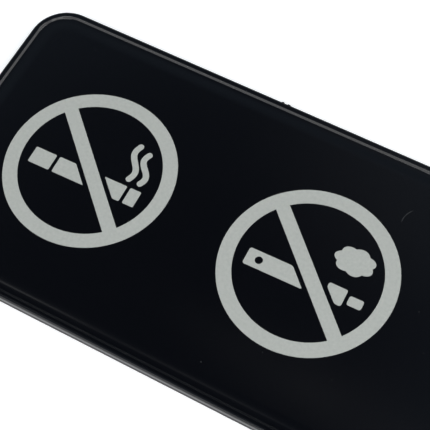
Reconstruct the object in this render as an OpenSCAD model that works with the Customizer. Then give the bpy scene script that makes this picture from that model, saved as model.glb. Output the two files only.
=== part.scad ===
// Wall sign lying on its back: one moulded plastic plate with a raised rim,
// on two strips of foam tape whose paper liners haven't been peeled off yet.
// X runs along the sign, Y up the sign as it hangs, and Z out of its face.
// The origin is under the middle of the sign, on the surface it lies on.

/* [Plate] */
// Length of the plate
sign_w = 228.6; // [150:0.1:330]
// Height of the plate as it hangs
sign_h = 76.2; // [62:0.1:160]
// Radius of the plate's corners, seen from the front
corner_r = 9.5; // [7.5:0.1:20]
// Thickness of the plate at its flat face
face_t = 2.35; // [1.6:0.05:5]

/* [Rim] */
// Width of the rim's flat top, with its rounded edges
rim_top_w = 1.45; // [1.2:0.05:2.4]
// Height of the rim above the flat face
rim_rise = 0.45; // [0.3:0.05:0.8]
// Width of the rim's inner slope
rim_slope_w = 0.48; // [0.3:0.02:0.8]
// How far the outer side leans in from the back to the top of the rim
draft_w = 0.15; // [0.05:0.05:0.4]

/* [Channel] */
// Depth of the shallow channel that runs round the face inside the rim
channel_d = 0.12; // [0.05:0.01:0.25]
// Width of the channel's level floor
channel_floor_w = 0.35; // [0.2:0.05:1]
// Width of the hollow lower part of the bank from the channel to the face
bank_hollow_w = 1.2; // [0.6:0.1:2]
// Width of the round upper part of that bank
bank_round_w = 2.2; // [1:0.1:2.8]

/* [Edge rounding] */
// Radius of the rim's outer top edge
outer_edge_r = 0.75; // [0.3:0.05:0.85]
// Radius of the rim's inner top edge
inner_edge_r = 0.2; // [0.1:0.05:0.3]
// Radius of the hollow at the foot of the rim's inner slope
foot_r = 0.2; // [0.1:0.05:0.3]
// Radius of the plate's back edge
back_edge_r = 0.3; // [0.1:0.1:0.8]

/* [Foam tape] */
// Width of each strip of foam tape
tape_w = 19; // [9:0.5:22]
// Distance from the plate's long edge to the nearer strip
tape_margin = 8.5; // [5:0.5:10]
// Distance from the plate's ends to the ends of the strips
tape_end = 14.3; // [10:0.1:40]
// Thickness of the foam tape
tape_t = 1; // [0.5:0.1:2]
// Radius of the die-cut corners of the strips
tape_corner_r = 1.5; // [0.5:0.1:4]
// Thickness of the paper liner over the tape's free side
liner_t = 0.12; // [0.08:0.01:0.3]

/* [Hidden] */

$fn = 48;
BANK_FN = 1440;  // facets of the bank's two wide arcs

plate_t = face_t + rim_rise;        // full thickness at the rim
plate_z = liner_t + tape_t;         // height of the plate's back
floor_y = face_t - channel_d;       // height of the channel's floor
rim_in = draft_w + rim_top_w;       // where the rim's flat top ends
slope_foot = rim_in + rim_slope_w;  // where its inner slope ends
bank_x = slope_foot + channel_floor_w;   // where the bank begins
bank_w = bank_hollow_w + bank_round_w;
band_w = bank_x + bank_w;           // where the flat face begins
face_lap = 0.6;  // how far the rim's section runs on into the flat face
slack = 0.5;     // how far cutting shapes run past a surface

tape_len = sign_w - 2 * tape_end;
tape_y = sign_h / 2 - tape_margin - tape_w / 2;

// The outer side leans by this angle, which places its two roundings.
lean = atan(draft_w / plate_t);
side_in = [cos(lean), -sin(lean)];
top_mid = [(outer_edge_r + (plate_t - outer_edge_r) * sin(lean)) / cos(lean),
           plate_t - outer_edge_r];
back_mid = [back_edge_r * (1 + sin(lean)) / cos(lean), back_edge_r];

// The rim's inner slope leans by this angle. A rounding of radius 1 at either
// end of it takes slope_cut off the level next to it.
slope_lean = atan(rim_slope_w / (rim_rise + channel_d));
slope_out = [cos(slope_lean), sin(slope_lean)];
slope_cut = (1 - sin(slope_lean)) / cos(slope_lean);
inner_mid = [rim_in - inner_edge_r * slope_cut, plate_t - inner_edge_r];
foot_mid = [slope_foot + foot_r * slope_cut, floor_y + foot_r];

// The bank is two arcs that run level into the channel's floor and the face.
// They meet where the bank is steepest.
bank_turn = 2 * atan(channel_d / bank_w);
hollow_r = bank_hollow_w / sin(bank_turn);
round_r = bank_round_w / sin(bank_turn);
hollow_mid = [bank_x, floor_y + hollow_r];
round_mid = [band_w, face_t - round_r];
bank_meet = hollow_mid + hollow_r * [sin(bank_turn), -cos(bank_turn)];
bank_foot = [bank_x + hollow_r * tan(bank_turn / 2), floor_y];
bank_top = [band_w - round_r * tan(bank_turn / 2), face_t];

// What lies between an arc of radius r about mid and the corner that the arc
// rounds, where touch_a and touch_b are the arc's ends. The corner is given a
// little too far out, so that no edge of this shape falls on the rounded one.
module beyond_arc(mid, r, touch_a, corner, touch_b) {
    difference() {
        polygon([mid, touch_a, corner, touch_b]);
        translate(mid) circle(r);
    }
}

// The space over the face, down to the channel's floor and up the rim's slope
module space_over_face() {
    past = band_w + face_lap + slack;
    top = plate_t + slack;
    difference() {
        polygon([[rim_in, top], [rim_in, plate_t], [slope_foot, floor_y],
                 bank_foot, bank_top, [past, face_t], [past, top]]);
        beyond_arc(foot_mid, foot_r,
                   foot_mid - foot_r * slope_out,
                   [slope_foot - foot_r, floor_y - foot_r],
                   foot_mid - [0, foot_r]);
        beyond_arc(hollow_mid, hollow_r,
                   hollow_mid - [0, hollow_r],
                   bank_foot - [0, slack],
                   bank_meet,
                   $fn = BANK_FN);
    }
    beyond_arc(round_mid, round_r,
               bank_meet,
               bank_top + [0, rim_rise / 2],
               round_mid + [0, round_r],
               $fn = BANK_FN);
}

// Section through the rim. Its x is the distance in from the plate's outline,
// and its y the height above the plate's back.
module rim_section() {
    difference() {
        square([band_w + face_lap, plate_t]);
        space_over_face();
        polygon([[-slack, 0], [0, 0], [draft_w, plate_t],
                 [draft_w, plate_t + slack], [-slack, plate_t + slack]]);
        beyond_arc(top_mid, outer_edge_r,
                   top_mid + [0, outer_edge_r],
                   [draft_w - slack, plate_t + slack],
                   top_mid - outer_edge_r * side_in);
        beyond_arc(back_mid, back_edge_r,
                   back_mid - back_edge_r * side_in,
                   [-slack, -slack],
                   back_mid - [0, back_edge_r]);
        beyond_arc(inner_mid, inner_edge_r,
                   inner_mid + inner_edge_r * slope_out,
                   [rim_in + slack, plate_t + slack],
                   inner_mid + [0, inner_edge_r]);
    }
}

// One side of the rim and the corner at its left end. The side lies at the
// bottom of a plate that is w long and h high, with its section facing in.
module rim_side(w, h) {
    translate([corner_r - w / 2, -h / 2, 0])
        rotate([90, 0, 90])
            linear_extrude(w - 2 * corner_r)
                rim_section();
    translate([corner_r - w / 2, corner_r - h / 2, 0])
        rotate([0, 0, 180])
            rotate_extrude(angle = 90)
                translate([corner_r, 0])
                    mirror([1, 0])
                        rim_section();
}

// Rectangle w long and h high about the origin, with corners of radius r
module rounded_rectangle(w, h, r) {
    square([w, h - 2 * r], center = true);
    square([w - 2 * r, h], center = true);
    for (x = [-1, 1], y = [-1, 1])
        translate([x * (w / 2 - r), y * (h / 2 - r)])
            circle(r);
}

// The whole plate is one moulding: a flat face inside a rim that runs round it.
module sign_plate() {
    color([0.06, 0.06, 0.07])
        translate([0, 0, plate_z]) {
            linear_extrude(face_t)
                rounded_rectangle(sign_w - 2 * band_w, sign_h - 2 * band_w,
                                  corner_r - band_w);
            for (turn = [0, 180])
                rotate([0, 0, turn]) {
                    rim_side(sign_w, sign_h);
                    rotate([0, 0, 90]) rim_side(sign_h, sign_w);
                }
        }
}

// Outline of a strip on the back: side is 1 for the upper one, -1 for the lower
module strip_outline(side) {
    translate([0, side * tape_y])
        rounded_rectangle(tape_len, tape_w, tape_corner_r);
}

// Double-sided foam tape, stuck to the plate's back
module tape_strip(side) {
    color([0.93, 0.93, 0.91])
        translate([0, 0, liner_t])
            linear_extrude(tape_t)
                strip_outline(side);
}

// Release paper on the free side of the tape
module tape_liner(side) {
    color([0.80, 0.72, 0.55])
        linear_extrude(liner_t)
            strip_outline(side);
}

sign_plate();
tape_strip(1);  // tape_strip_upper
tape_strip(-1);  // tape_strip_lower
tape_liner(1);  // tape_liner_upper
tape_liner(-1);  // tape_liner_lower
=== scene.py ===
from math import atan, cos, pi, radians, sin, sqrt

import bmesh
import bpy
from mathutils import Matrix, Vector


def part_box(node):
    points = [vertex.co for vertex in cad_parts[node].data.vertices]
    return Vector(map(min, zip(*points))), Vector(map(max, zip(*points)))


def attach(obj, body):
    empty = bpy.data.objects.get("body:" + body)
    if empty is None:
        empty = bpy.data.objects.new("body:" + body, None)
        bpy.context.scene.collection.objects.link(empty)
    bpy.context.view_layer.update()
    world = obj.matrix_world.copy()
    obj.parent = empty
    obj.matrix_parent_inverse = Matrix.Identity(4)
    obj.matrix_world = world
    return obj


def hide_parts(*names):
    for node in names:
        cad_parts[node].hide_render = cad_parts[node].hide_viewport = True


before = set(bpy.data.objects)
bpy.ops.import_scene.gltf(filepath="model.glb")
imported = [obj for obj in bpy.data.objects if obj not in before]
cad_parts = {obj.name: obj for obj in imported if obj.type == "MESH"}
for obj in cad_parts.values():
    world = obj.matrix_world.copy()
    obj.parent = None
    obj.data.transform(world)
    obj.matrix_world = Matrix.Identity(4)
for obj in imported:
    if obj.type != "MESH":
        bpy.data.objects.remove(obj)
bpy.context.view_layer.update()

MM = 0.001

# Sizes of the moulding, as in the construction
DRAFT_W = 0.15 * MM
RIM_TOP_W = 1.45 * MM
RIM_RISE = 0.45 * MM
RIM_SLOPE_W = 0.48 * MM
CHANNEL_D = 0.12 * MM
CHANNEL_FLOOR_W = 0.35 * MM
BANK_HOLLOW_W = 1.2 * MM
BANK_ROUND_W = 2.2 * MM
OUTER_EDGE_R = 0.75 * MM
INNER_EDGE_R = 0.2 * MM
FOOT_R = 0.2 * MM
BACK_EDGE_R = 0.3 * MM
CORNER_R = 9.5 * MM

SIGN_W = 228.6 * MM
SIGN_H = 76.2 * MM
LOW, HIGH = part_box("sign_plate")
BACK_Z = LOW.z
RIM_Z = HIGH.z
FACE_Z = RIM_Z - RIM_RISE

# How many steps each corner of the outline and each arc of the rim's section is
# drawn with
CORNER_STEPS = 48
BACK_EDGE_STEPS = 8
OUTER_EDGE_STEPS = 20
INNER_EDGE_STEPS = 10
FOOT_STEPS = 10
BANK_HOLLOW_STEPS = 16
BANK_ROUND_STEPS = 24

# Extra points this far inside the ends of each level keep its shading level.
SUPPORT = 0.02 * MM

# The camera, as it stood over the sign in the photograph
IMAGE_PX = 430
SENSOR_MM = 36
FOCAL_PX = 1258.1
CAMERA_TARGET = Vector((-47.6, 3.15, 0)) * MM + Vector((0, 0, FACE_Z))
CAMERA_DISTANCE = 292.8 * MM
CAMERA_AZIMUTH = radians(32.62)
CAMERA_ELEVATION = radians(62.31)
CAMERA_ROLL = radians(-4.5)
CAMERA_CLIP_START = 10 * MM

# The print: two round prohibition signs in one light ink, side by side.
# Its centres are in mm from the plate's lower left. An offcut of ink beside the
# slash that is smaller than LEAST_INK_AREA, in mm2, is left out.
INK_T = 0.03 * MM
INK_SINK = 0.01 * MM
PRINT_TILT = radians(1.3)
PRINT_CENTRES = ((34.3, 38.4), (92.3, 38.4))
LEAST_INK_AREA = 1.0

# The shapes of the print, in mm from the centre of each sign
RING_R = 21.0
RING_W = 3.6
RING_STEPS = 128
SLASH_W = 3.4
SLASH_ANGLE = -pi / 4
SLASH_GAP = 1.1
STROKE_END_STEPS = 8

# The cigarette's filter, paper and end from left to right, and its two long sides
CIGARETTE_PARTS = ((-14.6, -8.9), (-8.0, 10.4), (11.3, 14.2))
CIGARETTE_SIDES = (-4.7, -0.3)
CIGARETTE_SOFT_R = 0.35

# Each curl of smoke by its x, foot and top, and how it leans and sways
SMOKE_CURLS = ((9.7, 1.6, 10.6), (12.7, 1.6, 9.4))
CURL_LEAN = 1.6
CURL_SWAY = 0.9
CURL_W = 1.5
CURL_STEPS = 24

# The pen's body, tank and mouthpiece as left, right, lower and upper sides
PEN_PARTS = ((-14.4, 4.6, -4.7, -0.3),
             (5.5, 10.2, -4.7, -0.3),
             (11.1, 14.6, -3.7, -1.3))
PEN_SOFT_R = 0.6
PEN_BUTTON_MID = (-11.2, -2.5)
PEN_BUTTON_R = 0.95
PEN_BUTTON_STEPS = 32

# The cloud: an oval whose outline swells out in puffs
CLOUD_MID = (8.6, 6.8)
CLOUD_REACH = (4.3, 3.1)
CLOUD_PUFFS = 7
CLOUD_SWELL = 0.17
CLOUD_STEPS = 144

# Dust specks on the plate as x, y and radius in mm, and how much each one shows.
# Each fades out from SPECK_CORE of its radius.
SPECK_CORE = 0.5
SPECKS = ((-96.6, 30.3, 0.16, 0.5),
          (-95.6, 28.2, 0.16, 0.5),
          (-78.9, -18.2, 0.17, 0.6),
          (4.3, 2.8, 0.17, 0.7),
          (-22.0, -21.9, 0.16, 0.6),
          (-5.7, -20.6, 0.15, 0.4),
          (9.2, -5.7, 0.15, 0.4),
          (-32.9, -30.2, 0.2, 1.0))

# One short scratch: an arc about a point, seen only near its middle, in mm. It
# fades out along its length from SCRATCH_CORE of its reach.
SCRATCH_MID = (-8.3, 23.5)
SCRATCH_REACH = 2.3
SCRATCH_CORE = 0.6
SCRATCH_CENTRE = (-3.59, 22.08)
SCRATCH_R = 5.03
SCRATCH_W = 0.09

# Two small burrs on the far edge: x and half length in mm. Their middles lie
# BURR_INSET in from the outline and BURR_DROP below the rim's top.
BURRS = ((-46.0, 0.45), (-47.6, 0.4))
BURR_R = 0.22 * MM
BURR_INSET = 0.26 * MM
BURR_DROP = 0.3 * MM

# Specular level of the plate's side, low and high, and the heights above its
# back in mm between which it rises. The low level at the foot is painted shade:
# it darkens the side's reflection where the side meets the shaded floor
SIDE_SHADE_SPECULAR = (0.04, 0.5)
SIDE_SHADE_RISE = (1.1, 1.7)

# Colours of the materials: the dark and the light end of each one's mottle
STYRENE_BLACK = ((0.0020, 0.0022, 0.0034), (0.0030, 0.0032, 0.0046))
INK_WHITE = ((0.385, 0.40, 0.37), (0.53, 0.54, 0.50))
FOAM_WHITE = ((0.72, 0.72, 0.69), (0.86, 0.86, 0.84))
PAPER_BROWN = ((0.52, 0.41, 0.24), (0.64, 0.52, 0.33))
FLOOR_WHITE = ((0.89, 0.89, 0.89), (0.91, 0.91, 0.91))

# Colour of the specks and the scratch
STYRENE_WORN = (0.035, 0.036, 0.037)

FOAM_CELLS_PER_MM = 5

# The studio floor in metres: a level disc that bends up into a low wall. An
# inner ring of FLOOR_MID_R keeps the flat part near the sign in one piece.
FLOOR_MID_R = 0.25
FLOOR_R = 2.4
FLOOR_BEND_R = 0.5
FLOOR_BEND_STEPS = 12
WALL_TOP = 1.1
FLOOR_SIDES = 96

# How bright the floor is by itself to the camera and in reflections. The glow
# ends at the sign's outline, between these distances from it in mm: a painted
# contact shadow drawn along the outline, over the real shadow under the sign. It
# also falls to FAR_GLOW of that between these radii in mm. The floor lies a hair
# under the liners.
FLOOR_GLOW = 0.52
GLOW_EDGE = (-0.6, -0.25)
GLOW_FADE = (250, 900)
FAR_GLOW = 0.3
FLOOR_Z = -0.02 * MM

# Colours of the room by how nearly a direction points along ROOM_AXIS
ROOM_AXIS = (-0.27, 0.32, 1)
ROOM_STOPS = ((0.0, (0.30, 0.31, 0.32)),
              (0.6, (0.22, 0.25, 0.28)),
              (0.90, (0.13, 0.17, 0.21)),
              (0.965, (0.09, 0.12, 0.155)),
              (0.985, (0.028, 0.037, 0.048)),
              (1.0, (0.012, 0.018, 0.024)))

# Soft pale patches overhead, which the face and the channel's bank mirror: x and
# y of a patch's direction, how far it reaches along each, and how bright it is
ROOM_PATCHES = ((-0.20, 0.125, 0.16, 0.05, 0.28),
                (-0.36, 0.105, 0.08, 0.05, 2.2),
                (-0.10, 0.315, 0.20, 0.024, 0.16),
                (-0.13, 0.480, 0.15, 0.12, 0.07))

# Soft boxes: name, place and size in metres, and how bright each looks, with 1
# for white
LAMPS = (("front_box", (0, -1.4, 0.68), (3.0, 0.6), 1.35),
         ("right_box", (1.4, 0, 0.68), (3.0, 0.6), 1.35),
         ("corner_box", (1.05, -1.05, 0.72), (1.0, 0.6), 1.35),
         ("front_top_box", (0.1, -1.0, 1.25), (0.6, 0.6), 8),
         ("right_top_box", (1.1, 0.3, 1.1), (0.6, 0.6), 8))


def add_camera():
    """The camera looks down on the sign from its lower right."""
    data = bpy.data.cameras.new("camera")
    data.sensor_width = SENSOR_MM
    data.lens = FOCAL_PX * SENSOR_MM / IMAGE_PX
    data.clip_start = CAMERA_CLIP_START
    back = Vector((sin(CAMERA_AZIMUTH) * cos(CAMERA_ELEVATION),
                   -cos(CAMERA_AZIMUTH) * cos(CAMERA_ELEVATION),
                   sin(CAMERA_ELEVATION)))
    level = (-back).to_track_quat("-Z", "Y").to_matrix().to_4x4()
    camera = bpy.data.objects.new("camera", data)
    place = Matrix.Translation(CAMERA_TARGET + back * CAMERA_DISTANCE)
    camera.matrix_world = place @ level @ Matrix.Rotation(CAMERA_ROLL, 4, "Z")
    bpy.context.scene.collection.objects.link(camera)
    bpy.context.scene.camera = camera


def add_object(name, data):
    """A new object in the scene, from a mesh or a curve."""
    piece = bpy.data.objects.new(name, data)
    bpy.context.scene.collection.objects.link(piece)
    return piece


def arc(mid, r, start, end, steps):
    """Points of an arc about mid, from one angle to another in radians."""
    angles = [start + (end - start) * i / steps for i in range(steps + 1)]
    return [Vector((mid[0] + r * cos(a), mid[1] + r * sin(a))) for a in angles]


def circle(mid, r, steps):
    """Points of a whole circle about mid, none of them twice."""
    return arc(mid, r, 0, 2 * pi * (steps - 1) / steps, steps - 1)


def level_ends(start, end):
    """Two points just inside the ends of a straight part of the section."""
    step = (end - start).normalized() * SUPPORT
    return [start + step, end - step]


def rim_edges():
    """Arcs of the plate's back edge and of the rim's outer and inner edges."""
    plate_t = RIM_Z - BACK_Z
    lean = atan(DRAFT_W / plate_t)
    slope_lean = atan(RIM_SLOPE_W / (RIM_RISE + CHANNEL_D))
    slope_cut = (1 - sin(slope_lean)) / cos(slope_lean)
    rim_in = DRAFT_W + RIM_TOP_W
    back_mid = (BACK_EDGE_R * (1 + sin(lean)) / cos(lean), BACK_EDGE_R)
    top_y = plate_t - OUTER_EDGE_R
    top_mid = ((OUTER_EDGE_R + top_y * sin(lean)) / cos(lean), top_y)
    inner_mid = (rim_in - INNER_EDGE_R * slope_cut, plate_t - INNER_EDGE_R)
    foot_mid = (rim_in + RIM_SLOPE_W + FOOT_R * slope_cut,
                plate_t - RIM_RISE - CHANNEL_D + FOOT_R)
    return [arc(back_mid, BACK_EDGE_R, -pi / 2, -pi - lean, BACK_EDGE_STEPS),
            arc(top_mid, OUTER_EDGE_R, pi - lean, pi / 2, OUTER_EDGE_STEPS),
            arc(inner_mid, INNER_EDGE_R, pi / 2, slope_lean, INNER_EDGE_STEPS),
            arc(foot_mid, FOOT_R, slope_lean + pi, 3 * pi / 2, FOOT_STEPS)]


def bank_arcs():
    """The hollow and the round arc of the bank from the channel to the face."""
    face_y = FACE_Z - BACK_Z
    bank_x = DRAFT_W + RIM_TOP_W + RIM_SLOPE_W + CHANNEL_FLOOR_W
    bank_w = BANK_HOLLOW_W + BANK_ROUND_W
    turn = 2 * atan(CHANNEL_D / bank_w)
    hollow_r = BANK_HOLLOW_W / sin(turn)
    round_r = BANK_ROUND_W / sin(turn)
    hollow_mid = (bank_x, face_y - CHANNEL_D + hollow_r)
    round_mid = (bank_x + bank_w, face_y - round_r)
    return [arc(hollow_mid, hollow_r, -pi / 2, -pi / 2 + turn, BANK_HOLLOW_STEPS),
            arc(round_mid, round_r, pi / 2 + turn, pi / 2, BANK_ROUND_STEPS)]


def rim_section():
    """Section of the rim, from the back's edge up over the rim to the face.

    x is the distance in from the outline and y the height above the back."""
    hollow, top = bank_arcs()
    edges = rim_edges()
    points = [edges[0][0] + Vector((SUPPORT, 0))] + edges[0]
    for part in edges[1:] + [hollow]:
        points += level_ends(points[-1], part[0]) + part
    points += top[1:]
    points.append(top[-1] + Vector((SUPPORT, 0)))
    return points


def outline(inset):
    """Points round the sign's outline at an inset, anticlockwise from above."""
    x = SIGN_W / 2 - CORNER_R
    y = SIGN_H / 2 - CORNER_R
    points = []
    for i, (sx, sy) in enumerate(((1, 1), (-1, 1), (-1, -1), (1, -1))):
        start = i * pi / 2
        points += arc((sx * x, sy * y), CORNER_R - inset, start, start + pi / 2,
                      CORNER_STEPS)
    return points


def mesh_from(bm, name):
    """A smooth mesh from a bmesh."""
    for face in bm.faces:
        face.smooth = True
    mesh = bpy.data.meshes.new(name)
    bm.to_mesh(mesh)
    bm.free()
    return mesh


def moulding():
    """The plate: its rim's section swept round the outline, face and back closed."""
    bm = bmesh.new()
    rings = []
    for point in rim_section():
        rings.append([bm.verts.new((p.x, p.y, BACK_Z + point.y))
                      for p in outline(point.x)])
    count = len(rings[0])
    for low, high in zip(rings, rings[1:]):
        for i in range(count):
            j = (i + 1) % count
            bm.faces.new((low[i], low[j], high[j], high[i]))
    bm.faces.new(list(reversed(rings[0])))
    bm.faces.new(rings[-1])
    piece = add_object("sign_moulding", mesh_from(bm, "sign_moulding"))
    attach(piece, "root")
    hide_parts("sign_plate")
    return piece


def edge_burrs():
    """Small beads of plastic that stand out of the rim's far edge."""
    bm = bmesh.new()
    for x, reach in BURRS:
        place = Matrix.Translation((x * MM, SIGN_H / 2 - BURR_INSET, RIM_Z - BURR_DROP))
        size = Matrix.Diagonal((reach * MM, BURR_R, BURR_R, 1))
        bmesh.ops.create_icosphere(bm, subdivisions=3, radius=1, matrix=place @ size)
    piece = add_object("edge_burrs", mesh_from(bm, "edge_burrs"))
    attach(piece, "root")
    return piece


def clip(points, normal, reach):
    """The part of an outline whose points lie at most reach along normal."""
    kept = []
    for a, b in zip(points, points[1:] + points[:1]):
        past_a = a.dot(normal) - reach
        past_b = b.dot(normal) - reach
        if past_a <= 0:
            kept.append(a)
        if past_a * past_b < 0:
            kept.append(a + (b - a) * past_a / (past_a - past_b))
    return kept


def area(points):
    """Area inside a closed outline."""
    pairs = zip(points, points[1:] + points[:1])
    return abs(sum(a.x * b.y - b.x * a.y for a, b in pairs)) / 2


def soften(points, r, steps=5):
    """An outline with each corner rounded to about radius r."""
    soft = []
    for i, p in enumerate(points):
        a = points[i - 1]
        b = points[(i + 1) % len(points)]
        cut = min(r, (a - p).length / 2, (b - p).length / 2)
        start = p + (a - p).normalized() * cut
        end = p + (b - p).normalized() * cut
        for k in range(steps + 1):
            t = k / steps
            soft.append(start * (1 - t) ** 2 + p * 2 * t * (1 - t) + end * t ** 2)
    return soft


def rectangle(left, right, low, high):
    """The four corners of a rectangle, anticlockwise."""
    return [Vector((left, low)), Vector((right, low)),
            Vector((right, high)), Vector((left, high))]


def beside_slash(points, r):
    """An outline cut back from the slash, as one softened outline on each side."""
    across = Vector((-sin(SLASH_ANGLE), cos(SLASH_ANGLE)))
    reach = -(SLASH_W / 2 + SLASH_GAP)
    parts = [clip(points, across, reach), clip(points, -across, reach)]
    return [soften(p, r) for p in parts if area(p) > LEAST_INK_AREA]


def round_end(mid, side):
    """Points of a half circle that begins at mid + side, without its two ends."""
    turns = [-pi * k / STROKE_END_STEPS for k in range(1, STROKE_END_STEPS)]
    return [mid + Matrix.Rotation(turn, 2) @ side for turn in turns]


def ribbon(centre_line, width):
    """Outline of a stroke of even width with round ends."""
    left = []
    right = []
    for i, p in enumerate(centre_line):
        before = centre_line[max(i - 1, 0)]
        after = centre_line[min(i + 1, len(centre_line) - 1)]
        along = (after - before).normalized()
        side = Vector((-along.y, along.x)) * width / 2
        left.append(p + side)
        right.append(p - side)
    first, last = centre_line[0], centre_line[-1]
    return (left + round_end(last, left[-1] - last)
            + right[::-1] + round_end(first, right[0] - first))


def outline_curve(name, outlines):
    """A filled flat curve from closed outlines, where inner outlines are holes."""
    curve = bpy.data.curves.new(name, "CURVE")
    curve.dimensions = "2D"
    curve.fill_mode = "BOTH"
    curve.extrude = (INK_T + INK_SINK) / 2
    for points in outlines:
        spline = curve.splines.new("POLY")
        spline.points.add(len(points) - 1)
        for point, p in zip(spline.points, points):
            point.co = (p.x * MM, p.y * MM, 0, 1)
        spline.use_cyclic_u = True
    return curve


def ink(name, outlines, centre):
    """A layer of ink on the face, from outlines about a centre."""
    loose = add_object(name + "_outline", outline_curve(name, outlines))
    bpy.context.view_layer.update()
    mesh = bpy.data.meshes.new_from_object(loose)
    bpy.data.objects.remove(loose)
    x = centre[0] * MM - SIGN_W / 2
    y = centre[1] * MM - SIGN_H / 2
    place = Matrix.Translation((x, y, FACE_Z + (INK_T - INK_SINK) / 2))
    mesh.transform(place @ Matrix.Rotation(PRINT_TILT, 4, "Z"))
    mesh.name = name
    piece = add_object(name, mesh)
    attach(piece, "root")
    return piece


def ring_with_slash(name, centre):
    """A ring with a slash across it: a disc with two half-moon holes."""
    inner = RING_R - RING_W
    bite = atan(SLASH_W / 2 / sqrt(inner ** 2 - (SLASH_W / 2) ** 2))
    outlines = [circle((0, 0), RING_R, RING_STEPS)]
    for turn in (0, pi):
        start = SLASH_ANGLE + turn + bite
        outlines.append(arc((0, 0), inner, start, start + pi - 2 * bite,
                            RING_STEPS // 2))
    return ink(name, outlines, centre)


def cigarette(centre):
    """A filter, a long paper and a burning end, with gaps between them."""
    outlines = []
    for left, right in CIGARETTE_PARTS:
        part = rectangle(left, right, *CIGARETTE_SIDES)
        outlines += beside_slash(part, CIGARETTE_SOFT_R)
    return ink("print_cigarette", outlines, centre)


def smoke(centre):
    """Two curls of smoke over the burning end."""
    outlines = []
    for x, foot, top in SMOKE_CURLS:
        line = []
        for i in range(CURL_STEPS + 1):
            t = i / CURL_STEPS
            line.append(Vector((x - CURL_LEAN * t + CURL_SWAY * sin(2 * pi * t),
                                foot + (top - foot) * t)))
        outlines.append(ribbon(line, CURL_W))
    return ink("print_smoke", outlines, centre)


def vapour_pen(centre):
    """A pen in three parts: body with a round button, tank and mouthpiece."""
    outlines = []
    for sides in PEN_PARTS:
        outlines += beside_slash(rectangle(*sides), PEN_SOFT_R)
    outlines.append(circle(PEN_BUTTON_MID, PEN_BUTTON_R, PEN_BUTTON_STEPS))
    return ink("print_vapour_pen", outlines, centre)


def cloud(centre):
    """A puff drawn as a scalloped oval above the mouthpiece."""
    points = []
    for i in range(CLOUD_STEPS):
        a = 2 * pi * i / CLOUD_STEPS
        swell = 1 + CLOUD_SWELL * abs(sin(CLOUD_PUFFS / 2 * a))
        points.append(Vector((CLOUD_MID[0] + CLOUD_REACH[0] * swell * cos(a),
                              CLOUD_MID[1] + CLOUD_REACH[1] * swell * sin(a))))
    return ink("print_cloud", [points], centre)


def new_material(name):
    """A new node material, with its nodes, links and Principled shader."""
    material = bpy.data.materials.new(name)
    material.use_nodes = True
    nodes = material.node_tree.nodes
    return material, nodes, material.node_tree.links, nodes["Principled BSDF"]


def coordinates_mm(nodes, links, upright=1):
    """The place on the object in mm. With upright 0 its height is left out."""
    where = nodes.new("ShaderNodeTexCoord")
    scale = nodes.new("ShaderNodeMapping")
    scale.inputs["Scale"].default_value = (1 / MM, 1 / MM, upright / MM)
    links.new(where.outputs["Object"], scale.inputs["Vector"])
    return scale.outputs["Vector"]


def noise(nodes, links, where, size, detail=2.0, stretch=(1, 1, 1)):
    """Noise whose features are about size mm across."""
    mapping = nodes.new("ShaderNodeMapping")
    mapping.inputs["Scale"].default_value = [s / size for s in stretch]
    links.new(where, mapping.inputs["Vector"])
    texture = nodes.new("ShaderNodeTexNoise")
    texture.inputs["Scale"].default_value = 1
    texture.inputs["Detail"].default_value = detail
    links.new(mapping.outputs["Vector"], texture.inputs["Vector"])
    return texture.outputs["Fac"]


def ramp(nodes, links, value, low, high, start=0, end=1):
    """Maps a value from start..end to low..high."""
    node = nodes.new("ShaderNodeMapRange")
    node.inputs["From Min"].default_value = start
    node.inputs["From Max"].default_value = end
    node.inputs["To Min"].default_value = low
    node.inputs["To Max"].default_value = high
    links.new(value, node.inputs["Value"])
    return node.outputs["Result"]


def tint(nodes, links, value, dark, light):
    """Mixes two colours by a value from 0 to 1."""
    node = nodes.new("ShaderNodeMix")
    node.data_type = "RGBA"
    node.inputs["A"].default_value = (*dark, 1)
    node.inputs["B"].default_value = (*light, 1)
    links.new(value, node.inputs["Factor"])
    return node.outputs["Result"]


def bump(nodes, links, height, distance_mm, before=None):
    """A normal from a height between 0 and 1 times a distance."""
    node = nodes.new("ShaderNodeBump")
    node.inputs["Distance"].default_value = distance_mm * MM
    links.new(height, node.inputs["Height"])
    if before is not None:
        links.new(before, node.inputs["Normal"])
    return node.outputs["Normal"]


def calculate(nodes, links, operation, first, second):
    """The result of a Math node on a socket and a socket or number."""
    node = nodes.new("ShaderNodeMath")
    node.operation = operation
    links.new(first, node.inputs[0])
    if isinstance(second, (int, float)):
        node.inputs[1].default_value = second
    else:
        links.new(second, node.inputs[1])
    return node.outputs["Value"]


def distance_from(nodes, links, where, x, y):
    """Distance in mm from a point of the face."""
    node = nodes.new("ShaderNodeVectorMath")
    node.operation = "DISTANCE"
    node.inputs[1].default_value = (x, y, 0)
    links.new(where, node.inputs[0])
    return node.outputs["Value"]


def scratch_mask(nodes, links, where):
    """1 on the scratch and 0 off it."""
    off_mid = distance_from(nodes, links, where, *SCRATCH_MID)
    full = SCRATCH_REACH * SCRATCH_CORE
    along = ramp(nodes, links, off_mid, 1, 0, full, SCRATCH_REACH)
    out = distance_from(nodes, links, where, *SCRATCH_CENTRE)
    off_arc = calculate(nodes, links, "SUBTRACT", out, SCRATCH_R)
    off_arc = calculate(nodes, links, "MULTIPLY", off_arc, off_arc)
    across = ramp(nodes, links, off_arc, 1, 0, 0, SCRATCH_W ** 2 * 2)
    return calculate(nodes, links, "MULTIPLY", along, across)


def wear_mask(nodes, links):
    """How much dust or scratch lies at a place on the plate."""
    where = coordinates_mm(nodes, links, 0)
    mask = scratch_mask(nodes, links, where)
    for x, y, r, strength in SPECKS:
        away = distance_from(nodes, links, where, x, y)
        spot = ramp(nodes, links, away, strength, 0, r * SPECK_CORE, r)
        mask = calculate(nodes, links, "MAXIMUM", mask, spot)
    return mask


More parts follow.
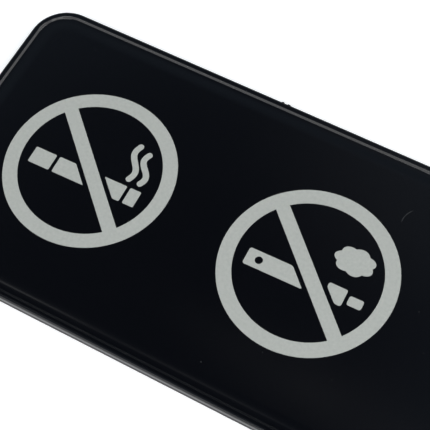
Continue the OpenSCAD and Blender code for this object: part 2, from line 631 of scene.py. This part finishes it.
def painted_side_shade(nodes, links, where):
    """Specular level by height: painted shade, which darkens the reflection at the foot
    of the plate's side.
    """
    height = nodes.new("ShaderNodeSeparateXYZ")
    links.new(where, height.inputs["Vector"])
    start, end = [BACK_Z / MM + rise for rise in SIDE_SHADE_RISE]
    return ramp(nodes, links, height.outputs["Z"], *SIDE_SHADE_SPECULAR, start, end)


def plate_material():
    """Glossy black styrene with slight waves, faint grain and a little wear."""
    material, nodes, links, shader = new_material("black_styrene")
    where = coordinates_mm(nodes, links)
    grain = noise(nodes, links, where, size=0.8, detail=4)
    drift = noise(nodes, links, where, size=30)
    worn = nodes.new("ShaderNodeMix")
    worn.data_type = "RGBA"
    worn.inputs["B"].default_value = (*STYRENE_WORN, 1)
    links.new(wear_mask(nodes, links), worn.inputs["Factor"])
    links.new(tint(nodes, links, grain, *STYRENE_BLACK), worn.inputs["A"])
    links.new(worn.outputs["Result"], shader.inputs["Base Color"])
    links.new(ramp(nodes, links, drift, low=0.06, high=0.16), shader.inputs["Roughness"])
    # The side's specular level paints shade at its foot, next to the floor.
    links.new(painted_side_shade(nodes, links, where), shader.inputs["Specular IOR Level"])
    wave = bump(nodes, links, drift, distance_mm=0.02)
    fine = bump(nodes, links, grain, distance_mm=0.0006, before=wave)
    links.new(fine, shader.inputs["Normal"])
    return material


def ink_material():
    """Flat off-white screen ink."""
    material, nodes, links, shader = new_material("off_white_ink")
    where = coordinates_mm(nodes, links)
    mottle = noise(nodes, links, where, size=0.7, detail=5)
    links.new(tint(nodes, links, mottle, *INK_WHITE), shader.inputs["Base Color"])
    links.new(ramp(nodes, links, mottle, low=0.42, high=0.60), shader.inputs["Roughness"])
    links.new(bump(nodes, links, mottle, distance_mm=0.004), shader.inputs["Normal"])
    return material


def foam_material():
    """White closed-cell foam."""
    material, nodes, links, shader = new_material("white_foam")
    where = coordinates_mm(nodes, links)
    texture = nodes.new("ShaderNodeTexVoronoi")
    texture.inputs["Scale"].default_value = FOAM_CELLS_PER_MM
    links.new(where, texture.inputs["Vector"])
    cells = texture.outputs["Distance"]
    links.new(tint(nodes, links, cells, *FOAM_WHITE), shader.inputs["Base Color"])
    links.new(ramp(nodes, links, cells, low=0.75, high=0.95), shader.inputs["Roughness"])
    links.new(bump(nodes, links, cells, distance_mm=0.05), shader.inputs["Normal"])
    return material


def liner_material():
    """Brown release paper with faint fibres along it."""
    material, nodes, links, shader = new_material("release_paper")
    where = coordinates_mm(nodes, links)
    fibres = noise(nodes, links, where, size=1.2, detail=6, stretch=(0.25, 1, 1))
    links.new(tint(nodes, links, fibres, *PAPER_BROWN), shader.inputs["Base Color"])
    links.new(ramp(nodes, links, fibres, low=0.38, high=0.55), shader.inputs["Roughness"])
    links.new(bump(nodes, links, fibres, distance_mm=0.006), shader.inputs["Normal"])
    return material


def dress(piece, material):
    """Gives a piece one material and takes off any other."""
    piece.data.materials.clear()
    piece.data.materials.append(material)


def floor_mesh():
    """A round floor that runs up into a low wall, all one surface."""
    bend = arc((FLOOR_R, FLOOR_BEND_R), FLOOR_BEND_R, -pi / 2, 0, FLOOR_BEND_STEPS)
    profile = [(FLOOR_MID_R, 0), (FLOOR_R, 0)]
    profile += [(p.x, p.y) for p in bend[1:]]
    profile.append((FLOOR_R + FLOOR_BEND_R, WALL_TOP))
    bm = bmesh.new()
    rings = []
    for r, z in profile:
        rings.append([bm.verts.new((p.x, p.y, z))
                      for p in circle((0, 0), r, FLOOR_SIDES)])
    bm.faces.new(rings[0])
    for low, high in zip(rings, rings[1:]):
        for i in range(FLOOR_SIDES):
            j = (i + 1) % FLOOR_SIDES
            bm.faces.new((low[i], high[i], high[j], low[j]))
    return mesh_from(bm, "studio_floor")


def vector_step(nodes, links, operation, first, second=None):
    """The result of a Vector Math node on a socket and fixed numbers."""
    node = nodes.new("ShaderNodeVectorMath")
    node.operation = operation
    links.new(first, node.inputs[0])
    if second is not None:
        node.inputs[1].default_value = second
    return node.outputs["Value" if operation == "LENGTH" else "Vector"]


def glow_by_place(nodes, links):
    """The floor's own brightness: none under the sign, which paints a contact shadow
    along its outline, and little far away.
    """
    where = coordinates_mm(nodes, links, 0)
    corner_mid = ((SIGN_W / 2 - CORNER_R) / MM, (SIGN_H / 2 - CORNER_R) / MM, 0)
    past = vector_step(nodes, links, "ABSOLUTE", where)
    past = vector_step(nodes, links, "SUBTRACT", past, corner_mid)
    past = vector_step(nodes, links, "MAXIMUM", past, (0, 0, 0))
    past = vector_step(nodes, links, "LENGTH", past)
    # The glow stops along the sign's outline: a painted contact shadow drawn to the
    # outline.
    start, end = [CORNER_R / MM + edge for edge in GLOW_EDGE]
    glow_with_painted_shadow = ramp(nodes, links, past, 0, FLOOR_GLOW, start, end)
    away = vector_step(nodes, links, "LENGTH", where)
    near = ramp(nodes, links, away, 1, FAR_GLOW, *GLOW_FADE)
    return calculate(nodes, links, "MULTIPLY", glow_with_painted_shadow, near)


def floor_material():
    """White paper that glows a little, so that it shows as plain white."""
    material, nodes, links, shader = new_material("studio_white")
    where = coordinates_mm(nodes, links)
    drift = noise(nodes, links, where, size=400)
    links.new(tint(nodes, links, drift, *FLOOR_WHITE), shader.inputs["Base Color"])
    shader.inputs["Roughness"].default_value = 0.9
    shader.inputs["Specular IOR Level"].default_value = 0
    shader.inputs["Emission Color"].default_value = (1, 1, 1, 1)
    path = nodes.new("ShaderNodeLightPath")
    seen = calculate(nodes, links, "MAXIMUM", path.outputs["Is Camera Ray"],
                     path.outputs["Is Glossy Ray"])
    glow = calculate(nodes, links, "MULTIPLY", seen, glow_by_place(nodes, links))
    links.new(glow, shader.inputs["Emission Strength"])
    return material


def add_lamp(name, place, size, brightness):
    """A soft box that faces the sign and is as bright as a white of brightness."""
    data = bpy.data.lights.new(name, "AREA")
    data.shape = "RECTANGLE"
    data.size = size[0]
    data.size_y = size[1]
    data.energy = brightness * pi * size[0] * size[1]
    lamp = bpy.data.objects.new(name, data)
    lamp.location = place
    lamp.rotation_mode = "QUATERNION"
    lamp.rotation_quaternion = Vector(place).to_track_quat("Z", "Y")
    lamp.visible_camera = False
    bpy.context.scene.collection.objects.link(lamp)


def add_patch(nodes, links, direction, light, patch):
    """The room's light with one soft pale patch added to it."""
    x, y, reach_x, reach_y, brightness = patch
    off = vector_step(nodes, links, "SUBTRACT", direction, (x, y, 0))
    off = vector_step(nodes, links, "MULTIPLY", off, (1 / reach_x, 1 / reach_y, 0))
    off = vector_step(nodes, links, "LENGTH", off)
    soft = nodes.new("ShaderNodeMapRange")
    soft.interpolation_type = "SMOOTHSTEP"
    soft.inputs["To Min"].default_value = brightness
    soft.inputs["To Max"].default_value = 0
    links.new(off, soft.inputs["Value"])
    total = nodes.new("ShaderNodeVectorMath")
    total.operation = "ADD"
    links.new(light, total.inputs[0])
    links.new(soft.outputs["Result"], total.inputs[1])
    return total.outputs["Vector"]


def add_world():
    """A dim bluish room that is darkest overhead."""
    world = bpy.data.worlds.new("studio")
    world.use_nodes = True
    nodes = world.node_tree.nodes
    links = world.node_tree.links
    where = nodes.new("ShaderNodeTexCoord")
    along = nodes.new("ShaderNodeVectorMath")
    along.operation = "DOT_PRODUCT"
    along.inputs[1].default_value = Vector(ROOM_AXIS).normalized()
    links.new(where.outputs["Generated"], along.inputs[0])
    colours = nodes.new("ShaderNodeValToRGB")
    for position, _ in ROOM_STOPS[2:]:
        colours.color_ramp.elements.new(position)
    for element, (position, colour) in zip(colours.color_ramp.elements, ROOM_STOPS):
        element.position = position
        element.color = (*colour, 1)
    links.new(along.outputs["Value"], colours.inputs["Fac"])
    light = colours.outputs["Color"]
    for patch in ROOM_PATCHES:
        light = add_patch(nodes, links, where.outputs["Generated"], light, patch)
    links.new(light, nodes["Background"].inputs["Color"])
    bpy.context.scene.world = world


def add_studio():
    """The camera, the room, the floor and the lamps."""
    add_camera()
    add_world()
    bpy.context.scene.view_settings.view_transform = "Standard"
    floor = add_object("studio_floor", floor_mesh())
    floor.location.z = FLOOR_Z
    dress(floor, floor_material())
    for lamp in LAMPS:
        add_lamp(*lamp)


def add_print():
    """The two pictograms, all in one ink."""
    look = ink_material()
    left, right = PRINT_CENTRES
    for piece in (ring_with_slash("print_ring_left", left),
                  ring_with_slash("print_ring_right", right),
                  cigarette(left),
                  smoke(left),
                  vapour_pen(right),
                  cloud(right)):
        dress(piece, look)


def dress_tape():
    """Materials of the two tape strips and their liners."""
    foam = foam_material()
    paper = liner_material()
    for side in ("upper", "lower"):
        dress(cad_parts["tape_strip_" + side], foam)
        dress(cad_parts["tape_liner_" + side], paper)


add_studio()
black = plate_material()
dress(moulding(), black)
dress(edge_burrs(), black)
add_print()
dress_tape()
